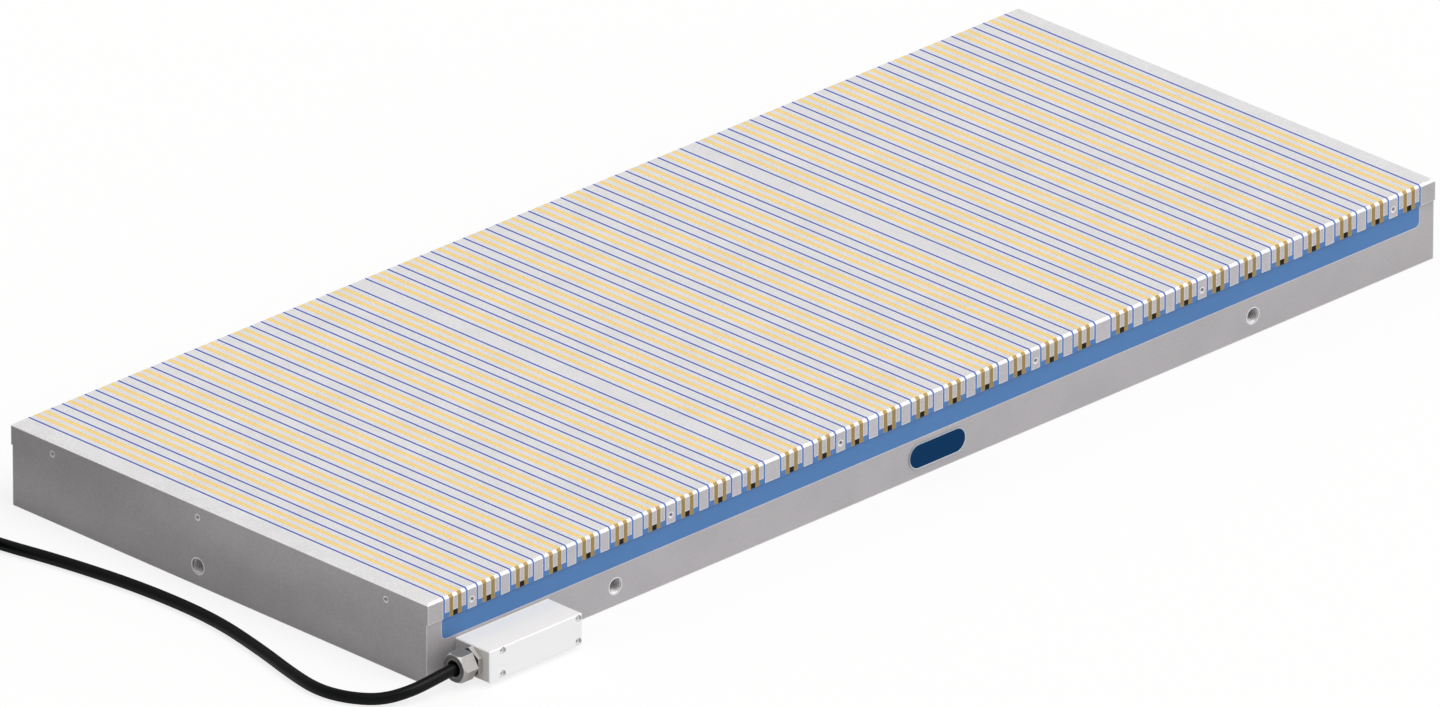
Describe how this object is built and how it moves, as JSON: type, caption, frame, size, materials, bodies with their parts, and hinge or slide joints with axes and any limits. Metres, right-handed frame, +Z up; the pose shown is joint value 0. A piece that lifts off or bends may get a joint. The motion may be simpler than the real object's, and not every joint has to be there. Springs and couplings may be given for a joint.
{
  "type": "magnetic chuck",
  "caption": "Rectangular electro-permanent magnetic chuck: parallel pole plate with brass spacers set in resin on a steel block, side terminal box, cable with plug",
  "frame": {"origin": "centre of the chuck's underside", "axes": "+X along the length, +Z up from the underside to the work face, the terminal box on the -Y side near the -X end"},
  "size_m": [1.4181, 0.6716, 0.075],
  "materials": {
    "ground_steel": "ground bright, fine grain",
    "pole_steel": "ground with the top face",
    "brass": "ground with the top face",
    "blue_resin": "cast epoxy, ground flush",
    "magnet_black": "dark ferrite",
    "coiled_magnet": "varnished copper winding round the magnet",
    "box_white": "smooth white enamel",
    "nickel": "nickel-plated brass",
    "rubber_black": "matt",
    "cable_jacket": "smooth black jacket",
    "strip_plastic": "moulded",
    "hood_grey": "powder-coated die casting",
    "insert_plastic": "moulded",
    "silver_contacts": "silver-plated",
    "tie_black": "woven strap"
  },
  "bodies": {
    "root": {"bar_magnets": "magnet_black", "base_block": "ground_steel", "brass_spacers": "brass", "cable": "cable_jacket", "cable_coil": "cable_jacket", "cable_tail": "cable_jacket", "centre_laminations": "pole_steel", "coil_tie": "tie_black", "coiled_magnets": "coiled_magnet", "gland_body": "nickel", "gland_jacket": "cable_jacket", "gland_nut": "nickel", "plain_poles_left": "pole_steel", "plain_poles_middle": "pole_steel", "plain_poles_right": "pole_steel", "plug_contacts": "silver_contacts", "plug_hood": "hood_grey", "plug_insert": "insert_plastic", "pole_shoes": "pole_steel", "potting_resin": "blue_resin", "section_poles": "pole_steel", "side_laminations_left": "pole_steel", "side_laminations_middle": "pole_steel", "side_laminations_right": "pole_steel", "terminal_box": "box_white", "terminal_box_seal": "rubber_black", "terminal_strip": "strip_plastic"}
  },
  "joints": []
}
